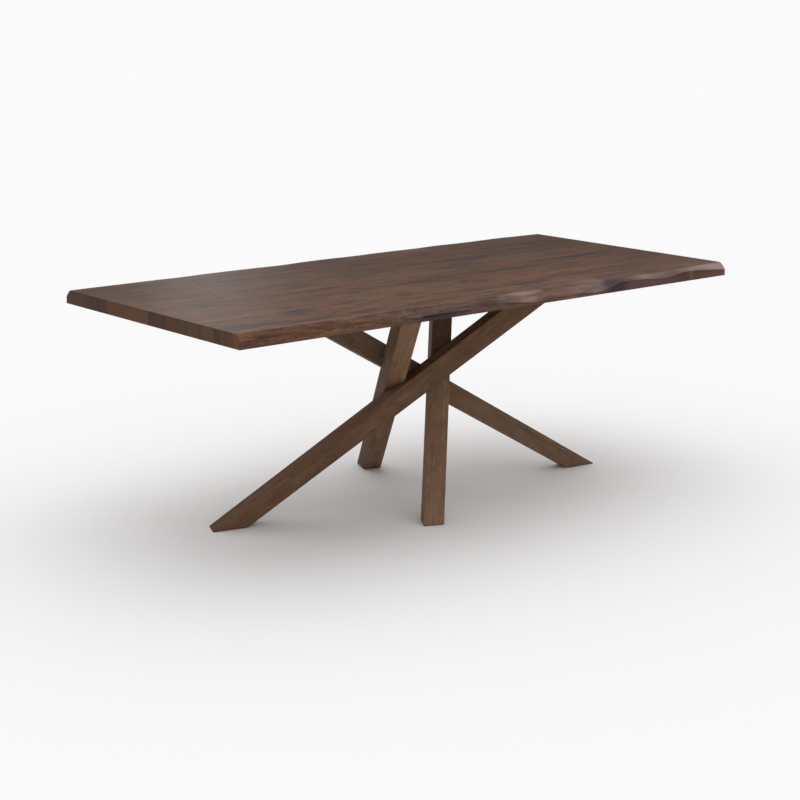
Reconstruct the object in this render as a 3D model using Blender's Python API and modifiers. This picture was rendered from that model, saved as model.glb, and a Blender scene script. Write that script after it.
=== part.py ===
"""Live-edge dining table: an edge-glued plank top on four square legs woven into each other.

Metres, +Z up. The origin is on the floor under the middle of the top, +X runs along the
planks and -Y is the front. Each leg is cut level at both ends and is notched over the next
leg that it crosses, so the four of them lock round an open middle.
"""
import math

import bmesh
import bpy
from mathutils import Matrix, Vector
from mathutils.geometry import intersect_line_line

CLEARANCE = 0.0003           # between pieces that seat on each other

# Top
TABLE_HEIGHT = 0.750
TOP_LENGTH = 2.040
TOP_WIDTH = 0.965
TOP_THICKNESS = 0.044
END_EASE = 0.001             # chamfer round the sawn ends
BOARD_WIDTHS = {             # front to back; the back board takes what is left of the width
    "front_edge_board": 0.118,
    "top_board_2": 0.087,
    "top_board_3": 0.175,
    "top_board_4": 0.094,
    "top_board_5": 0.122,
    "top_board_6": 0.121,
    "top_board_7": 0.048,
}

# Live edges, at even steps from the left end to the right: how far the upper rim stands back
# from the lower rim, and how high the ridge between the slope and the upright part runs
FRONT_SETBACK = (
    0.019, 0.018, 0.021, 0.018, 0.016, 0.015, 0.014, 0.012, 0.012, 0.013, 0.019,
    0.021, 0.015, 0.016, 0.009, 0.010, 0.011, 0.006, 0.010, 0.020, 0.022,
)
FRONT_RIDGE = (
    0.024, 0.026, 0.029, 0.024, 0.025, 0.024, 0.015, 0.012, 0.014, 0.024, 0.018,
    0.010, 0.012, 0.014, 0.011, 0.030, 0.028, 0.023, 0.033, 0.029, 0.022,
)
BACK_SETBACK = (
    0.021, 0.020, 0.022, 0.021, 0.025, 0.020, 0.020, 0.023, 0.027, 0.019, 0.016,
    0.021, 0.018, 0.016, 0.020, 0.014, 0.019, 0.018, 0.014, 0.020, 0.025,
)
BACK_RIDGE = (
    0.021, 0.024, 0.027, 0.022, 0.017, 0.021, 0.028, 0.025, 0.016, 0.012, 0.019,
    0.027, 0.023, 0.015, 0.018, 0.026, 0.030, 0.024, 0.017, 0.020, 0.024,
)
LIVE_EDGE_CUTS = 79          # cross-sections between the ends of a live edge

# Legs: where the middle of each meets the floor and the underside of the top, and how far it
# is turned about its own length, in degrees
LEG_WIDTH = 0.067
LEG_DEPTH = 0.060            # at the foot
LEG_SWELL = 0.0114           # depth gained for each metre of leg
LEG_ARRIS = 0.0012           # chamfer along the four long edges
LEGS = {
    "left_leg": {"foot": (-0.705, 0.069), "head": (0.489, -0.172), "roll": -5.7},
    "right_leg": {"foot": (0.703, -0.093), "head": (-0.466, 0.066), "roll": -0.8},
    "front_leg": {"foot": (-0.165, -0.307), "head": (0.255, 0.135), "roll": 13.5},
    "back_leg": {"foot": (0.110, 0.367), "head": (-0.238, -0.281), "roll": 6.9},
}
LAPS = (                     # the first of each pair is notched over the second
    ("back_leg", "left_leg"),
    ("left_leg", "front_leg"),
    ("right_leg", "back_leg"),
    ("front_leg", "right_leg"),
)

# Dowels that pin the laps
DOWEL_RADIUS = 0.006
DOWEL_LENGTH = 0.032
DOWEL_CHAMFER = 0.001

# Steel plates between the legs and the top
PLATE_THICKNESS = 0.005
PLATE_LIP = 0.008            # past the head of the leg, at each end
PLATE_FLANGE = 0.042         # past the head of the leg, at each side
PLATE_CORNER = 0.010

# Screws through the flanges into the top
TOP_SCREW_RADIUS = 0.004
TOP_SCREW_COVER = 0.014      # wood left above the tip
TOP_SCREW_POINT = 0.006
TOP_SCREW_INSET = 0.018      # from the end of the plate
WASHER_RADIUS = 0.0105
WASHER_THICKNESS = 0.0016
SCREW_HEAD_RADIUS = 0.0068
SCREW_HEAD_HEIGHT = 0.0048
SCREW_HEAD_ROUND = 0.0010
SLOT_TRAVEL = 0.006          # room for the planks to swell across the grain

# Countersunk screws through the plate into the leg
LEG_SCREW_RADIUS = 0.003
LEG_SCREW_LENGTH = 0.038
LEG_SCREW_POINT = 0.006
LEG_SCREW_HEAD_RADIUS = 0.006
LEG_SCREW_HEAD_HEIGHT = 0.0032

# Glides under the feet
GLIDE_THICKNESS = 0.002
GLIDE_INSET = 0.002
GLIDE_STEM_RADIUS = 0.005
GLIDE_STEM_LENGTH = 0.014

ROUND_STEPS = 12             # sides of the round pieces

UNDERSIDE = TABLE_HEIGHT - TOP_THICKNESS
PLATE_TOP = UNDERSIDE - CLEARANCE
PLATE_BOTTOM = PLATE_TOP - PLATE_THICKNESS
HEAD_CUT = PLATE_BOTTOM - CLEARANCE
FOOT_CUT = GLIDE_THICKNESS + CLEARANCE
UP = Vector((0.0, 0.0, 1.0))

for old in list(bpy.data.objects):
    bpy.data.objects.remove(old, do_unlink=True)


def make_collection(name):
    group = bpy.data.collections.new(name)
    bpy.context.scene.collection.children.link(group)
    return group


table = make_collection("live_edge_dining_table")
cutters = make_collection("table_cutters")


def finish(name, colour, roughness, metallic=0.0):
    material = bpy.data.materials.new(name)
    material.use_nodes = True
    shader = material.node_tree.nodes["Principled BSDF"]
    shader.inputs["Base Color"].default_value = (*colour, 1.0)
    shader.inputs["Roughness"].default_value = roughness
    shader.inputs["Metallic"].default_value = metallic
    return material


BOARD_FINISHES = (
    finish("walnut_red_brown", (0.080, 0.040, 0.026), 0.45),
    finish("walnut_dark", (0.052, 0.032, 0.024), 0.45),
    finish("walnut_brown", (0.070, 0.040, 0.028), 0.45),
)
LEG_FINISH = finish("walnut_leg", (0.075, 0.045, 0.026), 0.5)
PLATE_FINISH = finish("black_steel", (0.025, 0.025, 0.027), 0.45, 0.6)
ZINC_FINISH = finish("zinc_screw", (0.55, 0.56, 0.58), 0.35, 1.0)
DOWEL_FINISH = finish("beech_dowel", (0.55, 0.38, 0.22), 0.6)
GLIDE_FINISH = finish("nylon_glide", (0.03, 0.025, 0.022), 0.55)


def place(name, mesh, matrix, material):
    piece = bpy.data.objects.new(name, mesh)
    piece.matrix_world = matrix
    if not mesh.materials:
        mesh.materials.append(material)
    table.objects.link(piece)
    return piece


def place_cutter(name, mesh, matrix):
    cutter = bpy.data.objects.new(name, mesh)
    cutter.matrix_world = matrix
    cutter.hide_render = True
    cutter.display_type = "WIRE"
    cutters.objects.link(cutter)
    return cutter


def combine(piece, tool, operation="DIFFERENCE"):
    cut = piece.modifiers.new(tool.name, "BOOLEAN")
    cut.operation = operation
    cut.solver = "EXACT"
    cut.object = tool


def mesh_of(bm, name):
    bmesh.ops.recalc_face_normals(bm, faces=bm.faces[:])
    mesh = bpy.data.meshes.new(name)
    bm.to_mesh(mesh)
    bm.free()
    return mesh


def turned(name, profile):
    """A closed round mesh from (radius, height) points, from the top of the axis to its foot."""
    outline = bpy.data.meshes.new(name + "_profile")
    links = [(i, i + 1) for i in range(len(profile) - 1)]
    outline.from_pydata([(r, 0.0, z) for r, z in profile], links, [])
    lathe = bpy.data.objects.new(name + "_lathe", outline)
    cutters.objects.link(lathe)
    spin = lathe.modifiers.new("turn", "SCREW")
    spin.steps = ROUND_STEPS
    spin.render_steps = ROUND_STEPS
    spin.use_merge_vertices = True
    spin.merge_threshold = 0.00001
    bpy.context.view_layer.update()
    mesh = bpy.data.meshes.new_from_object(lathe.evaluated_get(bpy.context.evaluated_depsgraph_get()))
    mesh.name = name
    bpy.data.objects.remove(lathe, do_unlink=True)
    mesh.shade_smooth()
    mesh.set_sharp_from_angle(angle=math.radians(35.0))
    return mesh


# Top boards

def along(values, share):
    """A smooth curve through evenly spaced values, read at a share of the way along."""
    spot = share * (len(values) - 1)
    i = min(int(spot), len(values) - 2)
    t = spot - i
    a, b = values[i], values[i + 1]
    before = values[max(i - 1, 0)]
    after = values[min(i + 2, len(values) - 1)]
    slope_a, slope_b = (b - before) / 2, (after - a) / 2
    rise = (3 * t**2 - 2 * t**3) * (b - a)
    return a + rise + slope_a * (t**3 - 2 * t**2 + t) + slope_b * (t**3 - t**2)


def board_box(front, back):
    bm = bmesh.new()
    bmesh.ops.create_cube(bm, size=1.0)
    bmesh.ops.scale(bm, verts=bm.verts, vec=(TOP_LENGTH, back - front, TOP_THICKNESS))
    middle = Vector((0.0, (front + back) / 2, UNDERSIDE + TOP_THICKNESS / 2))
    bmesh.ops.translate(bm, verts=bm.verts, vec=middle)
    return bm


def shape_live_edge(bm, rim, inward, setback, ridge):
    """Cuts a ridge line into the outer side of a board and draws its upper rim back."""
    def outer(edge):
        return all(abs(v.co.y - rim) < CLEARANCE for v in edge.verts)

    upright = [e for e in bm.edges if outer(e) and abs(e.verts[0].co.x - e.verts[1].co.x) < CLEARANCE]
    bmesh.ops.subdivide_edges(bm, edges=upright, cuts=1)
    lengthwise = [e for e in bm.edges if abs(e.verts[0].co.x - e.verts[1].co.x) > TOP_LENGTH / 2]
    bmesh.ops.subdivide_edges(bm, edges=lengthwise, cuts=LIVE_EDGE_CUTS, use_grid_fill=True)
    for v in bm.verts:
        if abs(v.co.y - rim) > CLEARANCE:
            continue
        share = v.co.x / TOP_LENGTH + 0.5
        height = v.co.z - UNDERSIDE
        if height > TOP_THICKNESS - CLEARANCE:
            v.co.y = rim + inward * along(setback, share)
        elif height > CLEARANCE:
            v.co.z = UNDERSIDE + along(ridge, share)


def ease_ends(bm, glued_sides):
    """Chamfers the sawn ends all round, except along a glue line."""
    def at_end(edge):
        return all(abs(abs(v.co.x) - TOP_LENGTH / 2) < CLEARANCE for v in edge.verts)

    def glued(edge):
        return any(all(abs(v.co.y - y) < CLEARANCE for v in edge.verts) for y in glued_sides)

    rims = [e for e in bm.edges if at_end(e) and not glued(e)]
    bmesh.ops.bevel(bm, geom=rims, offset=END_EASE, offset_type="OFFSET", segments=1,
                    profile=0.5, affect="EDGES", clamp_overlap=True, material=-1)


def build_boards():
    boards = {}
    widths = {**BOARD_WIDTHS, "back_edge_board": TOP_WIDTH - sum(BOARD_WIDTHS.values())}
    y = -TOP_WIDTH / 2
    for i, (name, width) in enumerate(widths.items()):
        front = y if i == 0 else y + CLEARANCE / 2
        y += width
        back = y if i == len(widths) - 1 else y - CLEARANCE / 2
        bm = board_box(front, back)
        glued = [front, back]
        if i == 0:
            shape_live_edge(bm, front, 1, FRONT_SETBACK, FRONT_RIDGE)
            glued = [back]
        elif i == len(widths) - 1:
            shape_live_edge(bm, back, -1, BACK_SETBACK, BACK_RIDGE)
            glued = [front]
        ease_ends(bm, glued)
        tint = BOARD_FINISHES[i % len(BOARD_FINISHES)]
        boards[name] = place(name, mesh_of(bm, name), Matrix.Identity(4), tint)
        boards[name]["span"] = (front, back)
    return boards


# Legs

def leg_frame(leg):
    """A frame at the foot of a leg: X across it, Y up through its depth and Z along it."""
    foot = Vector((*leg["foot"], 0.0))
    axis = Vector((*leg["head"], UNDERSIDE)) - foot
    axis.normalize()
    level = Vector((-axis.y, axis.x, 0.0)).normalized()
    across = Matrix.Rotation(math.radians(leg["roll"]), 3, axis) @ level
    frame = Matrix((across, axis.cross(across), axis)).transposed().to_4x4()
    frame.translation = foot
    return frame


def depth_at(distance):
    return LEG_DEPTH + LEG_SWELL * distance


def leg_slice(frame, grow, low, high):
    """The leg between two level cuts, in its own frame, with its sides moved out by grow."""
    rise = frame.col[2].z
    ends = (low / rise - LEG_WIDTH - LEG_DEPTH / rise, high / rise + LEG_WIDTH + LEG_DEPTH / rise)
    bm = bmesh.new()
    bmesh.ops.create_cube(bm, size=2.0)
    for v in bm.verts:
        z = ends[v.co.z > 0]
        v.co = (v.co.x * (LEG_WIDTH / 2 + grow), v.co.y * (depth_at(z) / 2 + grow), z)
    corners = [e for e in bm.edges if abs(e.verts[0].co.z - e.verts[1].co.z) > LEG_WIDTH]
    bmesh.ops.bevel(bm, geom=corners, offset=LEG_ARRIS, offset_type="OFFSET", segments=1,
                    profile=0.5, affect="EDGES", clamp_overlap=True, material=-1)
    to_leg = frame.inverted()
    for height, outward in ((low, -UP), (high, UP)):
        spot = frame.translation + UP * height
        cut = bmesh.ops.bisect_plane(
            bm, geom=bm.verts[:] + bm.edges[:] + bm.faces[:], clear_outer=True,
            plane_co=to_leg @ spot, plane_no=to_leg.to_3x3() @ outward)
        rim = [g for g in cut["geom_cut"] if isinstance(g, bmesh.types.BMEdge)]
        bmesh.ops.edgeloop_fill(bm, edges=rim)
    return bm


def crossing(upper, lower):
    """A frame midway between the middles of two crossing legs, with Z from the lower to the upper."""
    a, b = (f.translation for f in (upper, lower))
    near_upper, near_lower = intersect_line_line(
        a, a + upper.col[2].to_3d(), b, b + lower.col[2].to_3d())
    between = near_upper - near_lower
    frame = between.to_track_quat("Z", "Y").to_matrix().to_4x4()
    frame.translation = (near_upper + near_lower) / 2
    return frame


def build_legs(frames):
    legs = {}
    for name, frame in frames.items():
        mesh = mesh_of(leg_slice(frame, 0.0, FOOT_CUT, HEAD_CUT), name)
        legs[name] = place(name, mesh, frame, LEG_FINISH)
    return legs


def lap_legs(legs, frames):
    half, edge = DOWEL_LENGTH / 2, DOWEL_RADIUS - DOWEL_CHAMFER
    shoulder = half - DOWEL_CHAMFER
    dowel = turned("lap_dowel", [(0, half), (edge, half), (DOWEL_RADIUS, shoulder),
                                 (DOWEL_RADIUS, -shoulder), (edge, -half), (0, -half)])
    reach, wall = half + CLEARANCE, DOWEL_RADIUS + CLEARANCE
    bore = turned("dowel_bore", [(0, reach), (wall, reach), (wall, -reach), (0, -reach)])
    for upper, lower in LAPS:
        label = upper + "_on_" + lower
        whole = mesh_of(leg_slice(frames[lower], CLEARANCE, FOOT_CUT, HEAD_CUT), label + "_notch")
        combine(legs[upper], place_cutter(label + "_notch", whole, frames[lower]))
    for upper, lower in LAPS:
        frame = crossing(frames[upper], frames[lower])
        label = upper.replace("_leg", "") + "_" + lower.replace("_leg", "")
        place(label + "_lap_dowel", dowel, frame, DOWEL_FINISH)
        hole = place_cutter(label + "_dowel_bore", bore, frame)
        combine(legs[upper], hole)
        combine(legs[lower], hole)


# Glides

def build_glides(legs, frames):
    top = FOOT_CUT + GLIDE_STEM_LENGTH
    root = GLIDE_THICKNESS / 2
    stem = turned("glide_stem", [(0, top), (GLIDE_STEM_RADIUS, top), (GLIDE_STEM_RADIUS, root), (0, root)])
    wall, reach = GLIDE_STEM_RADIUS + CLEARANCE, top + CLEARANCE
    bore = turned("glide_bore", [(0, reach), (wall, reach), (wall, 0), (0, 0)])
    for name, frame in frames.items():
        label = name.replace("_leg", "_glide")
        pad = mesh_of(leg_slice(frame, -GLIDE_INSET, 0.0, GLIDE_THICKNESS), label)
        spot = Matrix.Translation(frame.translation)
        combine(place(label, pad, frame, GLIDE_FINISH), place_cutter(label + "_stem", stem, spot), "UNION")
        combine(legs[name], place_cutter(label + "_bore", bore, spot))


# Plates and screws

def head_frame(frame):
    """A level frame at the head of a leg, X along its sides, with the length and width of the cut."""
    across, depthwise, axis = (frame.col[i].to_3d() for i in range(3))
    forward = across.cross(UP).normalized()
    aside = UP.cross(forward)
    spot = frame.translation + axis * (PLATE_TOP / axis.z)
    level = Matrix((forward, aside, UP)).transposed().to_4x4()
    level.translation = spot
    length = depth_at(PLATE_TOP / axis.z) / abs(forward.dot(depthwise))
    width = LEG_WIDTH / abs(aside.dot(across))
    return level, length, width


def plate_mesh(name, length, width):
    bm = bmesh.new()
    bmesh.ops.create_cube(bm, size=1.0)
    bmesh.ops.scale(bm, verts=bm.verts, vec=(length, width, PLATE_THICKNESS))
    bmesh.ops.translate(bm, verts=bm.verts, vec=(0.0, 0.0, -PLATE_THICKNESS / 2))
    corners = [e for e in bm.edges if abs(e.verts[0].co.z - e.verts[1].co.z) > CLEARANCE]
    bmesh.ops.bevel(bm, geom=corners, offset=PLATE_CORNER, offset_type="OFFSET", segments=3,
                    profile=0.5, affect="EDGES", clamp_overlap=True, material=-1)
    return mesh_of(bm, name)


def slot_mesh():
    """A slot that runs across the grain, from a round cutter pulled apart at its middle."""
    bm = bmesh.new()
    radius = TOP_SCREW_RADIUS + CLEARANCE
    bmesh.ops.create_cone(bm, cap_ends=True, segments=ROUND_STEPS, radius1=radius, radius2=radius,
                          depth=4 * PLATE_THICKNESS)
    bmesh.ops.rotate(bm, verts=bm.verts, matrix=Matrix.Rotation(math.pi / ROUND_STEPS, 3, "Z"))
    for v in bm.verts:
        v.co.y += math.copysign(SLOT_TRAVEL / 2, v.co.y)
    return mesh_of(bm, "plate_slot")


def top_screw_meshes():
    tip = CLEARANCE + PLATE_THICKNESS + CLEARANCE + TOP_THICKNESS - TOP_SCREW_COVER
    bottom = -WASHER_THICKNESS - SCREW_HEAD_HEIGHT
    screw = turned("top_screw", [
        (0, tip), (TOP_SCREW_RADIUS, tip - TOP_SCREW_POINT), (TOP_SCREW_RADIUS, 0), (WASHER_RADIUS, 0),
        (WASHER_RADIUS, -WASHER_THICKNESS), (SCREW_HEAD_RADIUS, -WASHER_THICKNESS),
        (SCREW_HEAD_RADIUS, bottom + SCREW_HEAD_ROUND),
        (SCREW_HEAD_RADIUS - SCREW_HEAD_ROUND, bottom), (0, bottom)])
    wall, reach = TOP_SCREW_RADIUS + CLEARANCE, tip + CLEARANCE
    bore = turned("top_screw_bore", [(0, reach), (wall, reach - TOP_SCREW_POINT), (wall, 0), (0, 0)])
    return screw, bore


def leg_screw_meshes():
    tip, shank = -LEG_SCREW_LENGTH, -LEG_SCREW_LENGTH + LEG_SCREW_POINT
    head, neck = LEG_SCREW_HEAD_RADIUS, -LEG_SCREW_HEAD_HEIGHT
    screw = turned("leg_screw", [
        (0, 0), (head, 0), (LEG_SCREW_RADIUS, neck), (LEG_SCREW_RADIUS, shank), (0, tip)])
    mouth, wall = head + CLEARANCE, LEG_SCREW_RADIUS + CLEARANCE
    sink = turned("leg_screw_sink", [
        (0, PLATE_THICKNESS), (mouth, PLATE_THICKNESS), (mouth, 0),
        (wall, neck), (wall, shank), (0, tip - CLEARANCE)])
    return screw, sink


def build_plates(legs, frames, boards):
    slot = slot_mesh()
    top_screw, top_bore = top_screw_meshes()
    leg_screw, leg_sink = leg_screw_meshes()
    for name, frame in frames.items():
        side = name.replace("_leg", "")
        level, head_length, head_width = head_frame(frame)
        length = head_length + 2 * PLATE_LIP
        width = head_width + 2 * PLATE_FLANGE
        plate = place(side + "_plate", plate_mesh(side + "_plate", length, width), level, PLATE_FINISH)

        reach = length / 2 - TOP_SCREW_INSET
        out = (head_width + PLATE_FLANGE) / 2
        for i, (x, y) in enumerate(((-reach, -out), (-reach, out), (reach, -out), (reach, out)), 1):
            spot = level @ Vector((x, y, 0.0))
            seat = Matrix.Translation((spot.x, spot.y, PLATE_BOTTOM - CLEARANCE))
            label = f"{side}_top_screw_{i}"
            place(label, top_screw, seat, ZINC_FINISH)
            combine(plate, place_cutter(label + "_slot", slot, seat))
            hole = place_cutter(label + "_bore", top_bore, seat)
            for board in boards.values():
                front, back = board["span"]
                if front - WASHER_RADIUS < spot.y < back + WASHER_RADIUS:
                    combine(board, hole)

        deep, aside = -head_length / 4, head_width / 4
        for i, (x, y) in enumerate(((deep, -aside), (deep, aside), (0.0, 0.0)), 1):
            seat = Matrix.Translation(level @ Vector((x, y, 0.0)))
            label = f"{side}_leg_screw_{i}"
            place(label, leg_screw, seat, ZINC_FINISH)
            hole = place_cutter(label + "_sink", leg_sink, seat)
            combine(plate, hole)
            combine(legs[name], hole)


leg_frames = {name: leg_frame(leg) for name, leg in LEGS.items()}
top_boards = build_boards()
table_legs = build_legs(leg_frames)
lap_legs(table_legs, leg_frames)
build_glides(table_legs, leg_frames)
build_plates(table_legs, leg_frames, top_boards)
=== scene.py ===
import math
from functools import reduce

import bmesh
import bpy
from mathutils import Matrix, Vector, noise


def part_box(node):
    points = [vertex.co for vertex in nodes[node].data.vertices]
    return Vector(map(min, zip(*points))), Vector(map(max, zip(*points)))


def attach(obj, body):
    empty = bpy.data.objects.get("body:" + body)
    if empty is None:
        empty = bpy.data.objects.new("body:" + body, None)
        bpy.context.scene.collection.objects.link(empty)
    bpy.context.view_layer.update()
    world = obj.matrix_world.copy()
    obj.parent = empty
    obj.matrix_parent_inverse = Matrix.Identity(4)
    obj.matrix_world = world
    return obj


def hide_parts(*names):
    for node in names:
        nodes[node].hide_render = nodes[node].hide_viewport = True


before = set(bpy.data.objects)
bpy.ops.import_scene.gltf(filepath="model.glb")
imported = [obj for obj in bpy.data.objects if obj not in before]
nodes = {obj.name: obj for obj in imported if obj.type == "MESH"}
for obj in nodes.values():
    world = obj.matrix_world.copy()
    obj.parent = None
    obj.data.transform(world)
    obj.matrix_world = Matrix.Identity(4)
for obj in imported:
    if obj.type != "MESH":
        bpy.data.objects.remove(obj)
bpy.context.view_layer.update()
print("frame loaded:", len(nodes), "pieces")


# shader maths

class Wire:  # wraps one socket; sums on it add Math nodes
    def __init__(self, tree, socket=None):
        self.tree, self.socket = tree, socket

    def node(self, kind, settings=None, sockets=None, out=0):
        made = self.tree.nodes.new("ShaderNode" + kind)
        for key, value in (settings or {}).items():
            if key == "stops":  # (place, colour or grey) along a ramp
                ramp = made.color_ramp.elements
                for i, (place, tone) in enumerate(value):
                    stop = ramp[i] if i < 2 else ramp.new(place)
                    stop.position = place
                    stop.color = (*tone, 1) if isinstance(tone, tuple) else (tone, tone, tone, 1)
            elif key == "blend":
                made.color_ramp.interpolation = value
            else:
                setattr(made, key, value)
        for key, value in (sockets or {}).items():
            socket = made.inputs[key]
            if isinstance(value, Wire):
                self.tree.links.new(value.socket, socket)
            else:
                socket.default_value = (*value, 1) if socket.type == "RGBA" else value
        return Wire(self.tree, made.outputs[out])

    def math(self, operation, other=0.0, flip=False):
        pair = (other, self) if flip else (self, other)
        return self.node("Math", {"operation": operation}, dict(enumerate(pair)))

    def __add__(self, other):
        return self.math("ADD", other)

    def __sub__(self, other):
        return self.math("SUBTRACT", other)

    def __mul__(self, other):
        return self.math("MULTIPLY", other)

    def __truediv__(self, other):
        return self.math("DIVIDE", other)

    def __rsub__(self, other):
        return self.math("SUBTRACT", other, True)

    def __rtruediv__(self, other):
        return self.math("DIVIDE", other, True)

    def __abs__(self):
        return self.math("ABSOLUTE")

    __radd__, __rmul__ = __add__, __mul__

    def rise(self, low, high):  # 0 below low, 1 above high, smooth between
        ends = {"Value": self, "From Min": low, "From Max": high}
        return self.node("MapRange", {"interpolation_type": "SMOOTHSTEP"}, ends)

    def ramp(self, stops, blend="LINEAR"):
        return self.node("ValToRGB", {"blend": blend, "stops": stops}, {0: self})

    def mix(self, factor, under, over, blend="MIX"):
        settings = {"data_type": "RGBA", "blend_type": blend}
        return self.node("Mix", settings, {0: factor, 6: under, 7: over}, 2)

    def tint(self, under, over):  # a colour mix by this mask
        return self.mix(self, under, over)

    def shadeTone(self, colour, tone):  # the colour times a tone, by this mask; here it paints shade
        return self.mix(self, colour, tone, "MULTIPLY")

    def times(self, colour):  # the colour times this number
        grey = self.node("CombineColor", None, {0: self, 1: self, 2: self})
        return self.mix(1.0, colour, grey, "MULTIPLY")

    def shade(self, colour, amount):  # the colour times 1 - amount * mask
        return (1 - self * amount).times(colour)

    def cloud(self, pitch, detail=2.0, rough=0.5, warp=0.0, shift=0.0):
        place = self.node("Mapping", None, {"Vector": self, "Scale": pitch, "Location": (shift, 0, 0)})
        return place.node("TexNoise", None, {"Vector": place, "Scale": 1.0, "Detail": detail,
                                             "Roughness": rough, "Distortion": warp})

    def parts(self):
        return [self.node("SeparateXYZ", None, {0: self}, i) for i in range(3)]

    def join(self, x, y, z):
        return self.node("CombineXYZ", None, {0: x, 1: y, 2: z})


def most(masks):
    return reduce(lambda one, other: one.math("MAXIMUM", other), masks)


def newFinish(name, roughness, metallic=0.0, gloss=0.5):
    finish = bpy.data.materials.new(name)
    finish.use_nodes = True
    shader = finish.node_tree.nodes["Principled BSDF"]
    shader.inputs["Roughness"].default_value = roughness
    shader.inputs["Metallic"].default_value = metallic
    shader.inputs["Specular IOR Level"].default_value = gloss
    return finish, shader


def objectPlace(finish):
    return Wire(finish.node_tree).node("TexCoord", None, None, 3)


def feed(shader, socket, wire):
    wire.tree.links.new(wire.socket, shader.inputs[socket])


def bump(shader, height, strength, distance):
    sockets = {"Height": height, "Strength": strength, "Distance": distance}
    feed(shader, "Normal", height.node("Bump", None, sockets))


def dress(obj, finish):
    if not obj.material_slots:
        obj.data.materials.append(finish)
    for slot in obj.material_slots:
        slot.material = finish


def scaled(colour, tone):
    return tuple(c * t for c, t in zip(colour, tone))


# walnut; a noise is its pitch in X, Y and Z, then detail, roughness, warp and shift in X

walnut = {
    "swayNoise": ((1.3, 5.0, 5.0), 2.0),
    "fleckNoise": ((24.0, 170.0, 170.0), 3.0, 0.6),
    "archNoise": ((0.8, 4.0, 4.0), 1.0, 0.5, 0.0, 2.0),
    "fibreNoise": ((15.0, 950.0, 950.0), 1.0),
    "poreNoise": ((48.0, 1150.0, 1150.0), 0.0),
    "poreFrom": (0.66, 0.74), "fibre": 0.08,
    "ringPitch": 700.0, "ringSlant": 0.6,
    "middle": 0.54, "toneStops": (0.12, 0.5, 0.88),  # where dark, mid and light lie
    "relief": (0.5, 0.35, 0.6),                      # lines, fibre and pores in the height
    "patchTurn": (3.0, 0.55, 0.4),
}


def grainFigure(along, look):
    # along runs with the grain in X; gives a colour, a height and the fine lines
    sway = (along.cloud(*look["swayNoise"]) - 0.5) * look["sway"]
    x, y, z = along.parts()
    bent = along.join(x, y + sway, z + sway)
    bands = bent.cloud(*look["bandNoise"])
    mottle = bent.cloud(*look["mottleNoise"])
    lines = bent.cloud(*look["lineNoise"])
    flecks = bent.cloud(*look["fleckNoise"])
    arch = (along.cloud(*look["archNoise"]) - 0.5) * look["arch"]
    rings = ((y + z * look["ringSlant"] + arch) * look["ringPitch"]).math("SINE")
    fibre = bent.cloud(*look["fibreNoise"])
    pores = bent.cloud(*look["poreNoise"]).rise(*look["poreFrom"])
    blend = bands * look["bands"] + mottle * look["mottle"] + lines * look["lines"] + fibre * look["fibre"]
    blend = blend + (flecks - 0.5) * look["flecks"] + rings * look["rings"]
    level = (blend - look["middle"]) * look["contrast"] + 0.5
    colour = level.ramp(zip(look["toneStops"], (look["dark"], look["mid"], look["light"])))
    raised, woven, sunk = look["relief"]
    height = lines * raised + fibre * woven - pores * sunk
    return pores.shade(colour, look["pore"]), height, lines


def patches(along, pitch, shift, low, high, depth):  # soft blots drawn out along the grain
    return along.cloud(pitch, *walnut["patchTurn"], shift).rise(low, high) * depth


boardBoxes = sorted([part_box(node) for node in nodes if "board" in node], key=lambda box: box[0].y)
topLow, topHigh = boardBoxes[0][0], boardBoxes[-1][1]
seams = [(near[1].y + far[0].y) / 2 for near, far in zip(boardBoxes, boardBoxes[1:])]  # glue lines, in Y

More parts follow.
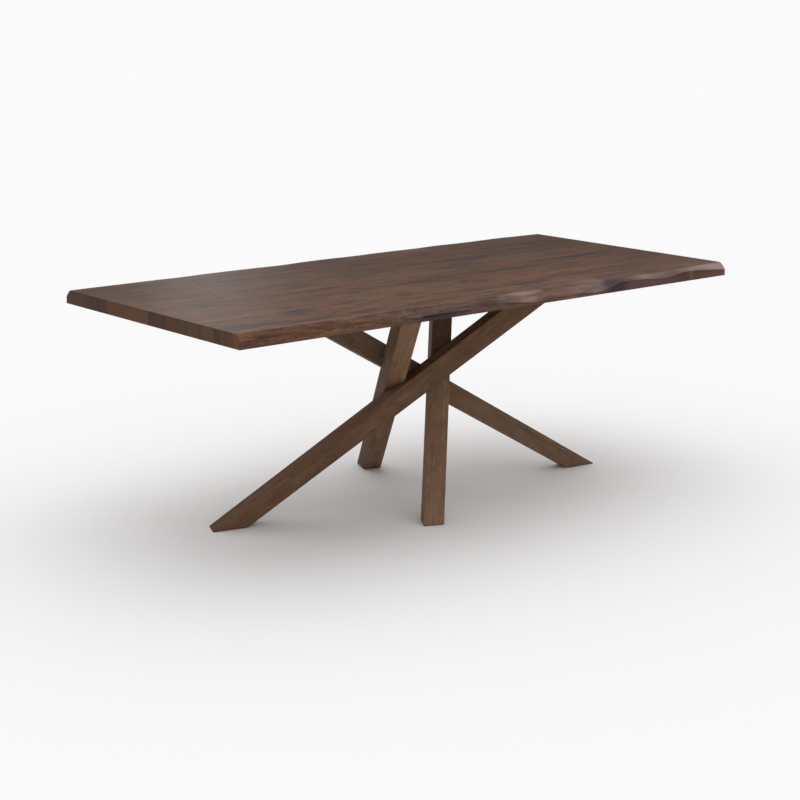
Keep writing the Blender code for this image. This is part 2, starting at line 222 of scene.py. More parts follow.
topLook = {
    **walnut,
    "dark": (0.066, 0.0330, 0.0205), "mid": (0.153, 0.0710, 0.0412), "light": (0.250, 0.1200, 0.0690),
    "bandNoise": ((1.9, 13.0, 13.0), 2.0),
    "mottleNoise": ((9.5, 33.0, 33.0), 3.0, 0.56, 0.3),
    "lineNoise": ((3.0, 230.0, 230.0), 5.0, 0.62, 0.3),
    "sway": 0.045, "bands": 0.36, "mottle": 0.34, "lines": 0.40, "flecks": 0.14,
    "arch": 0.16, "rings": 0.035, "contrast": 3.6, "pore": 0.4,
    "gloss": 0.2, "sheen": 0.28, "lineSheen": 0.10, "endSheen": 0.42, "bump": (0.16, 0.0006),

    "tones": (0.62, 0.46, 0.55, 0.40, 0.60, 0.50, 0.38, 0.36),  # of the boards, front to back
    "boardShift": (17.0, 3.1), "boardShade": 0.40,              # by the board's tone
    "glueLine": (0.0003, 0.0012), "glueShade": 0.22,

    # the face: over which Y or X a tone comes in, and how much of it
    "olive": (0.105, 0.0640, 0.0360), "oliveFrom": (-0.12, 0.30), "oliveDepth": 0.34,
    "backFrom": (-0.36, 0.10), "backShade": 0.13,
    "rightFrom": (0.45, 1.02), "rightBehind": (-0.38, -0.30), "rightShade": 0.14,

    # patches: pitch, shift, from and to which noise level, depth
    "red": (0.245, 0.0880, 0.0430), "redPatches": ((6.0, 29.0, 29.0), 9.0, 0.48, 0.70, 0.8),
    "honey": (0.148, 0.0840, 0.0370), "honeyPatches": ((5.6, 27.0, 27.0), 15.0, 0.49, 0.70, 0.75),
    "smoke": (0.048, 0.0370, 0.0440), "smokePatches": ((6.8, 36.0, 36.0), 3.0, 0.54, 0.75, 0.85),
    "moss": (0.043, 0.0420, 0.0330), "mossNoise": ((5.0, 11.0, 11.0), 2.0, 0.5, 0.0, 21.0),
    "mossFrom": (0.44, 0.56),

    # spots: x, y, half length, half width, depth; wander and feather fray them
    "wanderNoise": ((7.0, 18.0, 18.0), 4.0, 0.6), "wander": (0.22, 0.03),
    "featherNoise": ((7.0, 60.0, 60.0), 3.0, 0.58), "feather": 0.03,
    "spotReach": 2.2, "redFray": (0.38, 0.58), "smokeFray": (0.36, 0.56), "smokeLeast": (0.4, 0.75),
    "smokeSpots": (
        (-0.68, -0.30, 0.060, 0.026, 0.8), (-0.95, -0.40, 0.120, 0.030, 0.75),
        (-0.79, -0.42, 0.07, 0.020, 0.8), (-0.71, -0.425, 0.045, 0.016, 0.6),
        (-0.50, -0.418, 0.050, 0.020, 0.9), (-0.43, -0.317, 0.06, 0.010, 0.6),
        (-0.23, -0.255, 0.040, 0.015, 0.7), (-0.40, -0.03, 0.09, 0.008, 0.6),
        (0.02, -0.105, 0.10, 0.012, 0.6), (0.35, -0.105, 0.20, 0.014, 0.75),
        (0.38, 0.165, 0.19, 0.028, 0.7), (0.73, -0.04, 0.09, 0.018, 0.7),
        (0.21, -0.358, 0.09, 0.012, 0.8), (0.08, -0.197, 0.03, 0.016, 0.8),
        (-0.88, 0.23, 0.07, 0.020, 0.5), (0.00, 0.42, 0.16, 0.014, 0.5),
        (-0.60, 0.10, 0.06, 0.012, 0.5), (-0.20, 0.05, 0.08, 0.010, 0.5),
    ),
    "redSpots": (
        (-0.48, -0.085, 0.17, 0.050, 0.75), (-0.05, -0.28, 0.20, 0.040, 0.75),
        (0.27, -0.20, 0.20, 0.045, 0.6), (0.45, 0.01, 0.18, 0.030, 0.65),
        (0.84, -0.36, 0.18, 0.030, 0.6), (-0.32, -0.37, 0.22, 0.018, 0.7),
        (0.02, -0.02, 0.12, 0.025, 0.5), (-0.15, -0.13, 0.10, 0.020, 0.5),
        (0.62, -0.26, 0.16, 0.024, 0.5),
    ),

    # the sawn ends: tones, from which Y each begins, and the outer strip that goes pale
    "sap": (0.136, 0.0620, 0.0320), "cocoa": (0.096, 0.0485, 0.0270), "drab": (0.076, 0.0410, 0.0250),
    "tan": (0.112, 0.0560, 0.0280), "russet": (0.125, 0.0600, 0.0330),
    "ends": (
        (-0.4825, "cocoa"), (-0.378, "drab"), (-0.358, "tan"), (-0.300, "cocoa"), (-0.1025, "drab"),
        (-0.0085, "russet"), (0.1135, "tan"), (0.2345, "drab"), (0.345, "cocoa"),
    ),
    "sapEdge": (-0.458, -0.436),
    "endLineNoise": ((0.0, 170.0, 9.0), 4.0, 0.65), "endLines": 1.1, "endLineFrom": 0.35,
    "endDotNoise": ((0.0, 620.0, 620.0), 1.0), "endDots": 0.25,
    "endDepth": 0.7, "endGlue": 0.5, "endSkin": (0.0009, 0.0004),
}


def spotMask(x, y, spots):
    masks = []
    for sx, sy, length, width, depth in spots:
        far = ((x - sx) / length).math("POWER", 2) + ((y - sy) / width).math("POWER", 2)
        masks.append((1 - far.rise(0.0, topLook["spotReach"])) * depth)
    return most(masks)


def acrossTop(y):  # 0 at the front, 1 at the back
    return (y - topLow.y) / (topHigh.y - topLow.y)


def alongTop(x):  # 0 at the left end, 1 at the right
    return (x - topLow.x) / (topHigh.x - topLow.x)


def nearEnds(x, skin):
    return abs(x).rise(*[topHigh.x - depth for depth in skin])


def sawnEnd(place, y, glue):
    look = topLook
    tone = acrossTop(y).ramp([(acrossTop(at), look[shade]) for at, shade in look["ends"]], "CONSTANT")
    tone = (1 - y.rise(*look["sapEdge"])).tint(tone, look["sap"])
    lines = (place.cloud(*look["endLineNoise"]) - look["endLineFrom"]) * look["endLines"]
    dots = (place.cloud(*look["endDotNoise"]) - 0.5) * look["endDots"]
    return glue.shade((lines + dots).shade(tone, look["endDepth"]), look["endGlue"])


def topFinish(name, edged=False):
    look = topLook
    finish, shader = newFinish(name, look["sheen"], 0.0, look["gloss"])
    place = objectPlace(finish)
    x, y, z = place.parts()
    boards = zip((topLow.y, *seams), look["tones"])
    tone = acrossTop(y).ramp([(acrossTop(at), shade) for at, shade in boards], "CONSTANT")
    glue = most([1 - abs(y - seam).rise(*look["glueLine"]) for seam in seams])

    shiftX, shiftY = look["boardShift"]
    boardwise = place.join(x + tone * shiftX, y + tone * shiftY, z)  # each board has its own figure
    colour, height, lines = grainFigure(boardwise, look)
    colour = (y.rise(*look["oliveFrom"]) * look["oliveDepth"]).tint(colour, look["olive"])

    wander = place.cloud(*look["wanderNoise"]) - 0.5
    feather = place.cloud(*look["featherNoise"])
    sx = x + wander * look["wander"][0]
    sy = y + wander * look["wander"][1] + (feather - 0.5) * look["feather"]
    red = spotMask(sx, sy, look["redSpots"]) * feather.rise(*look["redFray"])
    colour = most([red, patches(boardwise, *look["redPatches"])]).tint(colour, look["red"])
    colour = patches(boardwise, *look["honeyPatches"]).tint(colour, look["honey"])
    least, more = look["smokeLeast"]
    smoke = spotMask(sx, sy, look["smokeSpots"]) * (least + feather.rise(*look["smokeFray"]) * more)
    smokeTone = place.cloud(*look["mossNoise"]).rise(*look["mossFrom"]).tint(look["smoke"], look["moss"])
    colour = most([smoke, patches(boardwise, *look["smokePatches"])]).tint(colour, smokeTone)

    colour = (1 - tone).shade(colour, look["boardShade"])
    colour = y.rise(*look["backFrom"]).shade(colour, look["backShade"])
    toRight = x.rise(*look["rightFrom"]) * y.rise(*look["rightBehind"])
    colour = toRight.shade(colour, look["rightShade"])
    colour = glue.shade(colour, look["glueShade"])
    if edged:
        colour = liveEdgeColour(place, colour)
    atEnd = nearEnds(x, look["endSkin"])
    feed(shader, "Base Color", atEnd.tint(colour, sawnEnd(place, y, glue)))
    feed(shader, "Roughness", look["sheen"] + lines * look["lineSheen"] + atEnd * look["endSheen"])
    bump(shader, height, *look["bump"])
    return finish


# meshes

touching = 1e-5  # metres; closer than this counts as the same place
boardShape = {"endEase": 0.0009, "glueGap": 0.00015}  # of every board


def boxMesh(low, high):
    bm = bmesh.new()
    bmesh.ops.create_cube(bm, size=1.0)
    bmesh.ops.scale(bm, vec=high - low, verts=bm.verts)
    bmesh.ops.translate(bm, vec=(low + high) / 2, verts=bm.verts)
    return bm


def endEdges(bm, end):
    return [e for e in bm.edges if all(abs(abs(v.co.x) - end) < touching for v in e.verts)]


def easeEnds(bm, edges, segments):
    bmesh.ops.bevel(bm, geom=edges, offset=boardShape["endEase"], offset_type="OFFSET", segments=segments,
                    profile=0.5, affect="EDGES", clamp_overlap=True, material=-1)


def addObject(name, data):
    obj = bpy.data.objects.new(name, data)
    bpy.context.scene.collection.objects.link(obj)
    return obj


def addMesh(name, bm):
    mesh = bpy.data.meshes.new(name)
    bm.to_mesh(mesh)
    bm.free()
    return addObject(name, mesh)


def addPiece(bm, name, node, finish, sharp=None):
    # makes the mesh a piece that stands for its node; edges sharper than sharp degrees stay so
    bmesh.ops.recalc_face_normals(bm, faces=bm.faces[:])
    piece = addMesh(name, bm)
    if sharp:
        piece.data.shade_smooth()
        piece.data.set_sharp_from_angle(angle=math.radians(sharp))
    dress(piece, finish)
    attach(piece, "root")
    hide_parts(node)


# live edges

edgeBoards = {  # setback of the upper rim and height of the ridge, in mm at even stations
    "front_edge_board": {
        "inward": 1, "seed": 3.0,
        "setback": (19, 18, 21, 18, 16, 15, 14, 12, 12, 13, 19, 21, 15, 16, 9, 10, 11, 6, 10, 20, 22),
        "ridge": (24, 26, 29, 24, 25, 24, 15, 12, 14, 24, 18, 10, 12, 14, 11, 30, 28, 23, 33, 29, 22),
    },
    "back_edge_board": {
        "inward": -1, "seed": 8.0,
        "setback": (21, 20, 22, 21, 25, 20, 20, 23, 27, 19, 16, 21, 18, 16, 20, 14, 19, 18, 14, 20, 25),
        "ridge": (21, 24, 27, 22, 17, 21, 28, 25, 16, 12, 19, 27, 23, 15, 18, 26, 30, 24, 17, 20, 24),
    },
}
edgeShape = {
    "lengthCuts": 319, "ridgeRound": 0.0045, "rimRound": 0.0020, "roundMost": 0.45,
    "swell": 0.0005, "arris": 0.0008, "faceStrips": (0.010, 0.028),
    "shares": (1.0, 0.97, 0.62, 0.5, 0.42, 0.25, 0.10, 0.06, 0.05, 0.03, 0.0),  # of each row, 0 on the face
    "ridgeStray": 0.0016, "rimStray": 0.0010, "strayPitch": 14, "rimPitch": 1.7,
    "hewn": 0.0007, "hewnPitch": 45, "hewnRow": 0.9, "sharp": 38,
}


def curveAt(values, share):  # smooth through even stations
    spot = share * (len(values) - 1)
    i = min(max(int(spot), 0), len(values) - 2)
    t = spot - i
    a, b = values[i], values[i + 1]
    slopeA = (b - values[max(i - 1, 0)]) / 2
    slopeB = (values[min(i + 2, len(values) - 1)] - a) / 2
    curve = a + (3 * t * t - 2 * t**3) * (b - a)
    return curve + slopeA * (t**3 - 2 * t * t + t) + slopeB * (t**3 - t * t)


def rounded(before, corner, after):  # the middle of a curve that cuts a corner
    return before * 0.25 + corner * 0.5 + after * 0.25


def edgeSection(setback, ridge, thick):
    # (inward, up) of each row, from the lower rim to the upper one
    shape = edgeShape
    foot, knee, brow = Vector((0, 0)), Vector((0, ridge)), Vector((setback, thick))
    fall = (foot - knee).normalized()
    climb = (brow - knee).normalized()
    limit = shape["roundMost"]
    turn = min(shape["ridgeRound"], ridge * limit, (brow - knee).length * limit)
    kneeLow, kneeHigh = knee + fall * turn, knee + climb * turn
    rim = climb * shape["rimRound"]
    browIn = brow + Vector((shape["rimRound"], 0))
    swell = Vector((-climb.y, climb.x)) * shape["swell"]
    return [
        foot + Vector((shape["arris"], 0)), foot + Vector((0, shape["arris"])),
        kneeLow, rounded(kneeLow, knee, kneeHigh), kneeHigh,
        (kneeHigh + brow - rim) / 2 + swell,
        brow - rim, rounded(brow - rim, brow, browIn), browIn,
        *[browIn + Vector((strip, 0)) for strip in shape["faceStrips"]],
    ]


def buildEdgeBoard(node, look, finish):
    shape = edgeShape
    low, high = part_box(node)
    if look["inward"] > 0:
        high.y += boardShape["glueGap"]
        outer, glued = low.y, high.y
    else:
        low.y -= boardShape["glueGap"]
        outer, glued = high.y, low.y
    size = high - low
    rows = len(shape["shares"])
    bm = boxMesh(low, high)
    upright = [e for e in bm.edges if all(abs(v.co.y - outer) < touching for v in e.verts)
               and abs(e.verts[0].co.x - e.verts[1].co.x) < touching]
    bmesh.ops.subdivide_edges(bm, edges=upright, cuts=rows - 2)
    lengthwise = [e for e in bm.edges if abs(e.verts[0].co.x - e.verts[1].co.x) > size.x / 2]
    bmesh.ops.subdivide_edges(bm, edges=lengthwise, cuts=shape["lengthCuts"], use_grid_fill=True)
    edgeLayer = bm.verts.layers.float.new("acrossEdge")
    for v in bm.verts:
        if abs(v.co.y - outer) > touching:
            continue
        share = (v.co.x - low.x) / size.x
        row = round((v.co.z - low.z) / size.z * (rows - 1))
        spot = Vector((v.co.x * shape["strayPitch"], look["seed"], 0))
        ridge = curveAt(look["ridge"], share) / 1000 + shape["ridgeStray"] * noise.noise(spot)
        setback = curveAt(look["setback"], share) / 1000
        setback += shape["rimStray"] * noise.noise(spot * shape["rimPitch"])
        at = edgeSection(setback, ridge, size.z)[row]
        hewn = 0
        if 1 < row < rows - 4:  # the rims keep their line
            spot = Vector((v.co.x * shape["hewnPitch"], row * shape["hewnRow"], look["seed"]))
            hewn = shape["hewn"] * noise.noise(spot)
        v.co.y = outer + look["inward"] * max(at.x - hewn, 0)
        v.co.z = low.z + at.y
        v[edgeLayer] = shape["shares"][row]
    ends = [e for e in endEdges(bm, high.x) if any(abs(v.co.y - glued) > touching for v in e.verts)]
    easeEnds(bm, ends, 1)
    addPiece(bm, "live_" + node, node, finish, shape["sharp"])


edgeLook = {
    "straw": (0.130, 0.062, 0.030), "rust": (0.094, 0.040, 0.022), "warm": (0.150, 0.074, 0.046),
    "brown": (0.105, 0.054, 0.036), "umber": (0.070, 0.034, 0.023), "soot": (0.032, 0.018, 0.015),
    "wine": (0.090, 0.041, 0.036), "plum": (0.106, 0.063, 0.065), "grey": (0.120, 0.079, 0.063),
    "ash": (0.165, 0.114, 0.100), "rose": (0.164, 0.092, 0.069), "mist": (0.238, 0.169, 0.145),
    "milk": (0.336, 0.237, 0.201), "cream": (0.272, 0.174, 0.135), "slate": (0.100, 0.075, 0.064),
    "fawn": (0.146, 0.094, 0.074), "hazel": (0.087, 0.045, 0.031), "fox": (0.125, 0.061, 0.042),
    # the slope and the upright part below it have their own tones, from which share of the length; the pale
    # tones toward the right of the slope are partly sapwood and partly painted highlight
    "slope": (
        (0.0, "straw"), (0.04, "rust"), (0.14, "rust"), (0.19, "warm"), (0.24, "brown"), (0.36, "grey"),
        (0.385, "fawn"), (0.41, "grey"), (0.45, "brown"), (0.478, "slate"), (0.530, "cream"),
        (0.575, "rose"), (0.63, "rose"), (0.70, "mist"), (0.714, "plum"), (0.74, "plum"), (0.80, "mist"),
        (0.87, "ash"), (0.92, "mist"), (1.0, "milk"),
    ),
    "upright": (
        (0.0, "rust"), (0.07, "rust"), (0.14, "straw"), (0.22, "straw"), (0.315, "umber"),
        (0.332, "soot"), (0.37, "soot"), (0.42, "hazel"), (0.475, "hazel"), (0.50, "brown"),
        (0.565, "brown"), (0.605, "fox"), (0.66, "brown"), (0.70, "brown"), (0.722, "soot"),
        (0.745, "soot"), (0.775, "wine"), (0.84, "wine"), (0.87, "umber"), (0.907, "umber"),
        (0.915, "straw"), (0.923, "umber"), (1.0, "fox"),
    ),
    "wobbleNoise": ((9.0, 60.0, 60.0), 3.0, 0.6), "wobble": 0.03, "wobbleUntil": (0.85, 0.90),
    "bruise": ((0.322, 0.330), (0.36, 0.44)), "bruiseClimb": 0.10,  # a grey patch that climbs the slope
    "curlNoise": ((34.0, 120.0, 120.0), 5.0, 0.66, 1.8), "curlFrom": (0.44, 0.60), "curl": 0.55,
    "hairNoise": ((15.0, 200.0, 200.0), 4.0, 0.65, 0.5), "hairFrom": (0.44, 0.62), "hairs": 0.45,
    "burl": 0.9, "burlUntil": (0.30, 0.55), "burlLoss": 0.75, "burlDepth": 0.85,
    "flowNoise": ((11.0, 70.0, 70.0), 4.0, 0.6, 0.3, 4.0), "flowFrom": (0.38, 0.62), "flowDepth": 0.48,
    "flowUntil": (0.70, 0.73), "flowLoss": 0.6,
    "rim": (0.02, 0.14), "knee": (0.46, 0.54), "lowRim": (0.94, 0.975),  # shares across the edge
    "rimFray": 0.10, "lowRimShade": 0.5, "cornerShade": 0.45,
    "cornerSkin": (0.0035, 0.0012), "underSkin": (0.0001, 0.0006),
    # where the edge's tone runs onto the face
    "faceFrom": (0.46, 0.64), "faceUntil": (0.70, 0.78), "faceLoss": 0.75,
    "faceWide": (0.035, 0.115), "faceFlow": (0.36, 0.60), "faceLeast": (0.25, 0.5),
}


def liveEdgeColour(place, colour):
    look = edgeLook
    across = place.node("Attribute", {"attribute_name": "acrossEdge"}, None, 2)
    x, y, z = place.parts()
    share = alongTop(x)
    curl = place.cloud(*look["curlNoise"])
    hairs = place.cloud(*look["hairNoise"])
    flow = place.cloud(*look["flowNoise"])
    wobble = (place.cloud(*look["wobbleNoise"]) - 0.5) * look["wobble"]
    strayed = share + wobble * (1 - share.rise(*look["wobbleUntil"]))
    slope, upright = [strayed.ramp([(at, look[tone]) for at, tone in look[part]])
                      for part in ("slope", "upright")]
    start, end = look["bruise"]
    bruise = strayed.rise(*start) * (1 - strayed.rise(*end))
    edge = (across + bruise * look["bruiseClimb"]).rise(*look["knee"]).tint(slope, upright)

    # burl at the left, plainer at the right, then broader streaks, dark rims and corners
    burl = look["burl"] - share.rise(*look["burlUntil"]) * look["burlLoss"]
    curly = curl.rise(*look["curlFrom"]) * look["curl"] + hairs.rise(*look["hairFrom"]) * look["hairs"]
    edge = ((curly - 0.5) * burl).shade(edge, look["burlDepth"])
    calm = 1 - share.rise(*look["flowUntil"]) * look["flowLoss"]
    edge = ((flow.rise(*look["flowFrom"]) - 0.5) * calm).shade(edge, look["flowDepth"])
    edge = across.rise(*look["lowRim"]).shade(edge, look["lowRimShade"])
    edge = nearEnds(x, look["cornerSkin"]).shade(edge, look["cornerShade"])

    patch = share.rise(*look["faceFrom"]) * (1 - share.rise(*look["faceUntil"]) * look["faceLoss"])
    least, more = look["faceLeast"]
    inside = topHigh.y - abs(y)
    onFace = (1 - inside.rise(*look["faceWide"])) * patch * (least + flow.rise(*look["faceFlow"]) * more)
    onEdge = (across + (curl - 0.5) * look["rimFray"]).rise(*look["rim"])
    aboveUnder = z.rise(*[topLow.z + skin for skin in look["underSkin"]])
    return (most([onEdge, onFace]) * aboveUnder).tint(colour, edge)


def buildPlank(node, finish):
    low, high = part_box(node)
    low.y -= boardShape["glueGap"]
    high.y += boardShape["glueGap"]
    bm = boxMesh(low, high)
    level = [e for e in endEdges(bm, high.x) if abs(e.verts[0].co.z - e.verts[1].co.z) < touching]
    easeEnds(bm, level, 2)
    addPiece(bm, "glued_" + node, node, finish)


# legs

legLook = {
    **walnut,
    "dark": (0.070, 0.0385, 0.0205), "mid": (0.146, 0.0800, 0.0425), "light": (0.215, 0.1200, 0.0650),
    "bandNoise": ((0.9, 15.0, 15.0), 2.0),
    "mottleNoise": ((15.0, 32.0, 32.0), 4.0, 0.62, 0.5),
    "lineNoise": ((4.5, 110.0, 110.0), 5.0, 0.62, 0.3),
    "sway": 0.02, "bands": 0.25, "mottle": 0.38, "lines": 0.37, "flecks": 0.08,
    "arch": 0.05, "rings": 0.015, "contrast": 2.1, "pore": 0.35,
    "streakNoise": ((1.2, 34.0, 34.0), 3.0, 0.55, 0.0, 5.0), "streakFrom": (0.58, 0.72), "streak": 0.35,
    "blush": (1.02, 0.84, 0.78), "blushPatches": ((11.0, 24.0, 24.0), 11.0, 0.42, 0.64, 0.6),
    "moss": (0.92, 0.99, 0.84), "mossPatches": ((9.0, 22.0, 22.0), 19.0, 0.48, 0.68, 0.6),
    "gloss": 0.04, "sheen": 0.55, "lineSheen": 0.10, "bump": (0.18, 0.0006),
    "halfWidth": 0.0335, "arrisSkin": (0.0013, 0.0003), "overFrom": 0.001, "seedShift": (3.7, 0.31),
    "overPart": (0.05, 0.40), "upperPart": (0.56, 0.66),  # metres along the leg: where the upper side gets painted light, and where the upper part gets painted shade
    "seatLine": 0.0012, "seatSoft": (0.0008, 0.0022), "seatShade": 0.7,
    "legs": {  # foot, head and turn as in the solids; painted light and shade on the front side and on the upper one
        # each leg's tone is partly its own colour and partly painted light and sheen
        "left_leg": {
            "foot": (-0.705, 0.069), "head": (0.489, -0.172), "turn": -5.7,
            "tone": (1.07, 1.14, 1.34), "upperShade": (1.00, 1.00, 1.00), "front": 1.0, "over": 1.30,
        },
        "right_leg": {
            "foot": (0.703, -0.093), "head": (-0.466, 0.066), "turn": -0.8,
            "tone": (1.20, 1.39, 1.74), "upperShade": (0.92, 0.91, 0.86), "front": 1.0, "over": 1.0,
        },
        "front_leg": {
            "foot": (-0.165, -0.307), "head": (0.255, 0.135), "turn": 13.5,
            "tone": (1.60, 1.84, 2.16), "upperShade": (0.76, 0.84, 1.00), "front": 1.0, "over": 1.0,
        },
        "back_leg": {
            "foot": (0.110, 0.367), "head": (-0.238, -0.281), "turn": 6.9, "standsOn": "left_leg",
            "tone": (1.45, 1.66, 2.05), "upperShade": (0.99, 0.96, 0.87), "front": 0.60, "over": 1.0,
        },
    },
}


def alongLeg(place, leg):  # X runs from the foot to the head, Y across, Z up
    base = Vector((*leg["foot"], 0.0))
    axis = (Vector((*leg["head"], topLow.z)) - base).normalized()
    level = Vector((-axis.y, axis.x, 0.0)).normalized()
    side = Matrix.Rotation(math.radians(leg["turn"]), 3, axis) @ level
    lay = Matrix((axis, side, axis.cross(side))).transposed()
    sockets = {"Vector": place, "Location": base, "Rotation": lay.to_euler()}
    return place.node("Mapping", {"vector_type": "TEXTURE"}, sockets)


def seatLine(place, below):  # the shadow line where a leg stands on the one below
    face = max(nodes[below].data.polygons, key=lambda f: f.normal.z * f.area)
    away = place.node("VectorMath", {"operation": "DOT_PRODUCT"}, {0: place, 1: face.normal}, 1)
    away = away - face.center.dot(face.normal)
    return 1 - abs(away - legLook["seatLine"]).rise(*legLook["seatSoft"])


def legFinish(name, leg, seed):
    look = dict(legLook)
    for shade in ("dark", "mid", "light"):
        look[shade] = scaled(look[shade], leg["tone"])
    finish, shader = newFinish(name + "_walnut", look["sheen"], 0.0, look["gloss"])
    place = objectPlace(finish)
    grain = alongLeg(place, leg)
    x, y, z = grain.parts()
    side = [look["halfWidth"] - skin for skin in look["arrisSkin"]]
    inner = 1 - abs(y).rise(*side)
    # painted light and shade: factors that lighten or darken the front side and the upper side
    over = z.rise(-look["overFrom"], look["overFrom"]) * inner * x.rise(*look["overPart"])
    light = 1 + (y * -1).rise(*side) * (leg["front"] - 1) + over * (leg["over"] - 1)

    shiftX, shiftY = look["seedShift"]
    own = grain.join(x + seed * shiftX, y + seed * shiftY, z)  # each leg has its own figure
    colour, height, lines = grainFigure(own, look)
    colour = own.cloud(*look["streakNoise"]).rise(*look["streakFrom"]).shade(colour, look["streak"])
    for tone, blots in (("blush", "blushPatches"), ("moss", "mossPatches")):
        colour = patches(own, *look[blots]).tint(colour, scaled(look["mid"], look[tone]))
    # painted shade on the upper part of the leg, under the top
    colour = x.rise(*look["upperPart"]).shadeTone(light.times(colour), leg["upperShade"])
    if "standsOn" in leg:
        colour = (seatLine(place, leg["standsOn"]) * inner).shade(colour, look["seatShade"])
    feed(shader, "Base Color", colour)
    feed(shader, "Roughness", look["sheen"] + lines * look["lineSheen"])
    bump(shader, height, *look["bump"])
    return finish


# fittings

fittings = {
    "mottleNoise": ((180.0, 180.0, 180.0), 3.0, 0.6), "tones": (0.8, 1.2), "roughSwing": 0.08,
    "bump": (0.12, 0.0003),
    "blackSteel": {"name": "black_steel", "colour": (0.022, 0.022, 0.024), "roughness": 0.5,
                   "metallic": 0.3, "speck": 1400.0},
    "zinc": {"name": "bright_zinc", "colour": (0.58, 0.59, 0.60), "roughness": 0.34,
             "metallic": 1.0, "speck": 900.0},
    "nylon": {"name": "dark_nylon", "colour": (0.028, 0.022, 0.018), "roughness": 0.55,
              "metallic": 0.0, "speck": 1100.0},
    "beech": {"name": "bare_beech", "colour": (0.52, 0.36, 0.21), "roughness": 0.62,
              "metallic": 0.0, "speck": 800.0},
}


def plainFinish(name, colour, roughness, metallic, speck):
    finish, shader = newFinish(name, roughness, metallic)
    place = objectPlace(finish)
    mottle = place.cloud(*fittings["mottleNoise"])
    deep, bright = [tuple(min(1.0, c * tone) for c in colour) for tone in fittings["tones"]]
    swing = fittings["roughSwing"]
    feed(shader, "Base Color", mottle.tint(deep, bright))
    feed(shader, "Roughness", roughness - swing + mottle * (2 * swing))
    bump(shader, place.cloud((speck, speck, speck), 1.0), *fittings["bump"])
    return finish


screwShape = {
    "sides": 24, "tip": 0.0003, "point": 0.006, "shank": 0.004,
    "washer": 0.0105, "washerThick": 0.0016, "washerTop": 0.0004, "washerSide": 0.0005, "washerFoot": 0.0006,
    "head": 0.0068, "headHigh": 0.0048, "round": 0.0014, "roundPart": 0.3,
    "socket": 0.0027, "socketDeep": 0.0026, "socketEase": 0.0003, "sharp": 35,
}


def buildScrew(node, finish):
    s = screwShape
    low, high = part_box(node)
    mid = (low + high) / 2
    seat = low.z + s["headHigh"] + s["washerThick"]
    under = seat - s["washerThick"]
    turn = s["round"] * s["roundPart"]
    rings = [  # radius, height, six-sided or round, from the tip down and into the socket
        (s["shank"], high.z - s["point"], False), (s["shank"], seat, False),
        (s["washer"] - s["washerTop"], seat, False), (s["washer"], seat - s["washerTop"], False),
        (s["washer"], under + s["washerSide"], False), (s["washer"] - s["washerFoot"], under, False),
        (s["head"], under, False), (s["head"], low.z + s["round"], False),
        (s["head"] - turn, low.z + turn, False), (s["head"] - s["round"], low.z, False),
        (s["socket"] + s["socketEase"], low.z, True), (s["socket"], low.z + s["socketEase"], True),
        (s["socket"], low.z + s["socketDeep"], True),
    ]
    bm = bmesh.new()
    bmesh.ops.create_circle(bm, cap_ends=True, segments=s["sides"], radius=s["tip"])
    bmesh.ops.translate(bm, vec=(0, 0, high.z), verts=bm.verts)
    face = bm.faces[:][0]
    for radius, height, sixSided in rings:
        made = bmesh.ops.extrude_face_region(bm, geom=[face])
        bmesh.ops.delete(bm, geom=[face], context="FACES_ONLY")
        face = [g for g in made["geom"] if isinstance(g, bmesh.types.BMFace)][0]
        for v in face.verts:
            angle = math.atan2(v.co.y, v.co.x)
            reach = radius
            if sixSided:
                reach = radius / math.cos((angle % (math.pi / 3)) - math.pi / 6)
            v.co = (reach * math.cos(angle), reach * math.sin(angle), height)
    bmesh.ops.translate(bm, vec=(mid.x, mid.y, 0), verts=bm.verts)
    bmesh.ops.holes_fill(bm, edges=[e for e in bm.edges if e.is_boundary])
    bm.verts.index_update()
    for parts in (bm.edges, bm.faces):  # the same order each run
        parts.sort(key=lambda p: max(v.index for v in p.verts) * 1000 + min(v.index for v in p.verts))
    addPiece(bm, "socket_" + node, node, finish, s["sharp"])


boardFinish = topFinish("walnut_planks")
edgeFinish = topFinish("walnut_live_edge", edged=True)
for node, look in edgeBoards.items():
    buildEdgeBoard(node, look, edgeFinish)
print("live edges built")

for seed, (node, leg) in enumerate(legLook["legs"].items(), 1):
    dress(nodes[node], legFinish(node, leg, seed))
print("legs dressed")

blackSteel, zinc, nylon, beech = [plainFinish(**fittings[kind])
                                  for kind in ("blackSteel", "zinc", "nylon", "beech")]
for node, obj in nodes.items():
    if node.startswith("top_board"):
        buildPlank(node, boardFinish)
    elif node.endswith("_plate"):
        dress(obj, blackSteel)
    elif node.endswith("_glide"):
        dress(obj, nylon)
    elif node.endswith("_dowel"):
        dress(obj, beech)
    elif "_top_screw_" in node:
        buildScrew(node, zinc)
    elif "_screw_" in node:
        dress(obj, zinc)
print("planks and fittings done")


# studio

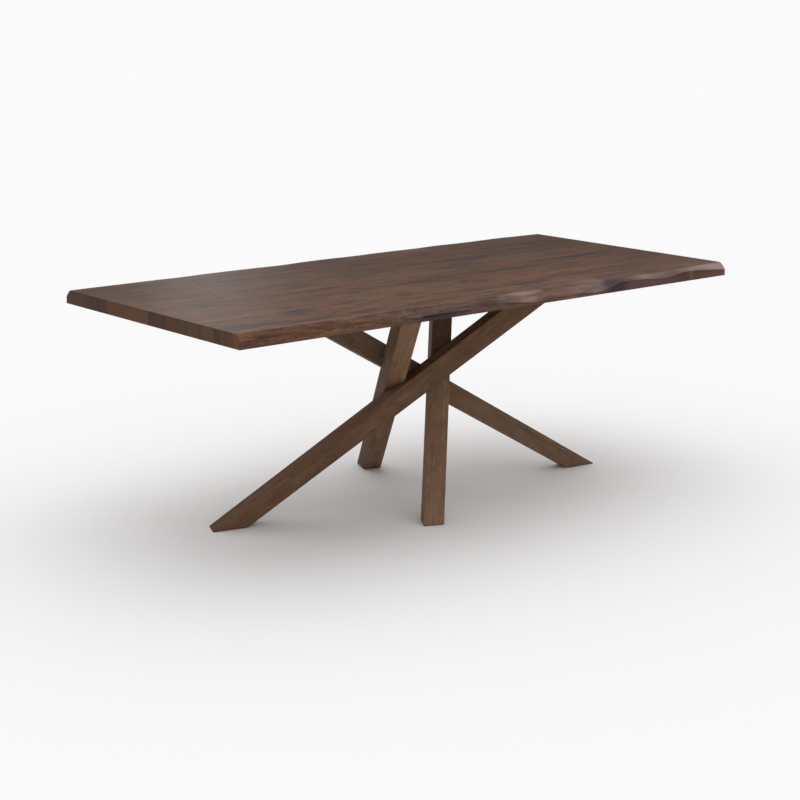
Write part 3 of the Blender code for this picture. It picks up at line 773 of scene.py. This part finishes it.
studio = {
    "floorTone": (0.93, 0.93, 0.93), "floorSpan": 420.0, "floorRough": 0.9,
    "dome": 0.628, "show": 0.956,                           # the dome's light, and how bright it looks
    "lamps": {"rear": (90.0, 0.669), "side": (0.0, 0.733)},  # heading it stands toward, strength
    "lampTilt": 25.0, "lampSoft": 90.0,
    "mirror": 0.12, "panel": 0.74, "panelHeading": 56.9,     # what the gloss sees
    "panelEdge": (0.7, 2.1), "panelTop": (0.35, 0.6),        # degrees off the heading, height
}

bm = bmesh.new()
bmesh.ops.create_grid(bm, x_segments=1, y_segments=1, size=studio["floorSpan"])
floor = addMesh("studio_floor", bm)
floorFinish, floorShader = newFinish("pale_floor", studio["floorRough"], 0.0, 0.0)
floorShader.inputs["Base Color"].default_value = (*studio["floorTone"], 1)
dress(floor, floorFinish)

world = bpy.data.worlds.new("studio_dome")
bpy.context.scene.world = world
world.use_nodes = True
world.cycles.sampling_method = "NONE"  # an even dome needs no map
backdrop = world.node_tree.nodes["Background"]
backdrop.inputs["Color"].default_value = (1, 1, 1, 1)
sky = Wire(world.node_tree)
seen, gloss = sky.node("LightPath"), sky.node("LightPath", None, None, 3)
dx, dy, dz = sky.node("TexCoord").parts()
swing = abs(dy.math("ARCTAN2", dx) - math.radians(studio["panelHeading"]))
panel = 1 - swing.rise(*[math.radians(edge) for edge in studio["panelEdge"]])
panel = panel * (1 - dz.rise(*studio["panelTop"])) * studio["panel"]
strength = seen * studio["show"] + gloss * (panel + studio["mirror"]) + (1 - seen - gloss) * studio["dome"]
feed(backdrop, "Strength", strength)

for lamp, (heading, power) in studio["lamps"].items():
    light = bpy.data.lights.new(lamp + "_lamp", "SUN")
    light.energy = power
    light.angle = math.radians(studio["lampSoft"])
    lampObject = addObject(lamp + "_lamp", light)
    lampObject.rotation_euler = (math.radians(studio["lampTilt"]), 0, math.radians(heading + 90))

shot = {"place": (-3.7207, -4.4488, 1.6909), "down": 13.2512, "heading": 50.45,
        "lens": 79.46, "sensor": 36.0, "clip": 900.0}
cameraData = bpy.data.cameras.new("photo_view")
cameraData.lens = shot["lens"]
cameraData.sensor_width = shot["sensor"]
cameraData.clip_end = shot["clip"]
camera = addObject("photo_view", cameraData)
camera.location = shot["place"]
camera.rotation_euler = (math.radians(90 - shot["down"]), 0, math.radians(shot["heading"] - 90))
bpy.context.scene.camera = camera
bpy.context.scene.view_settings.view_transform = "Standard"
print("studio set")
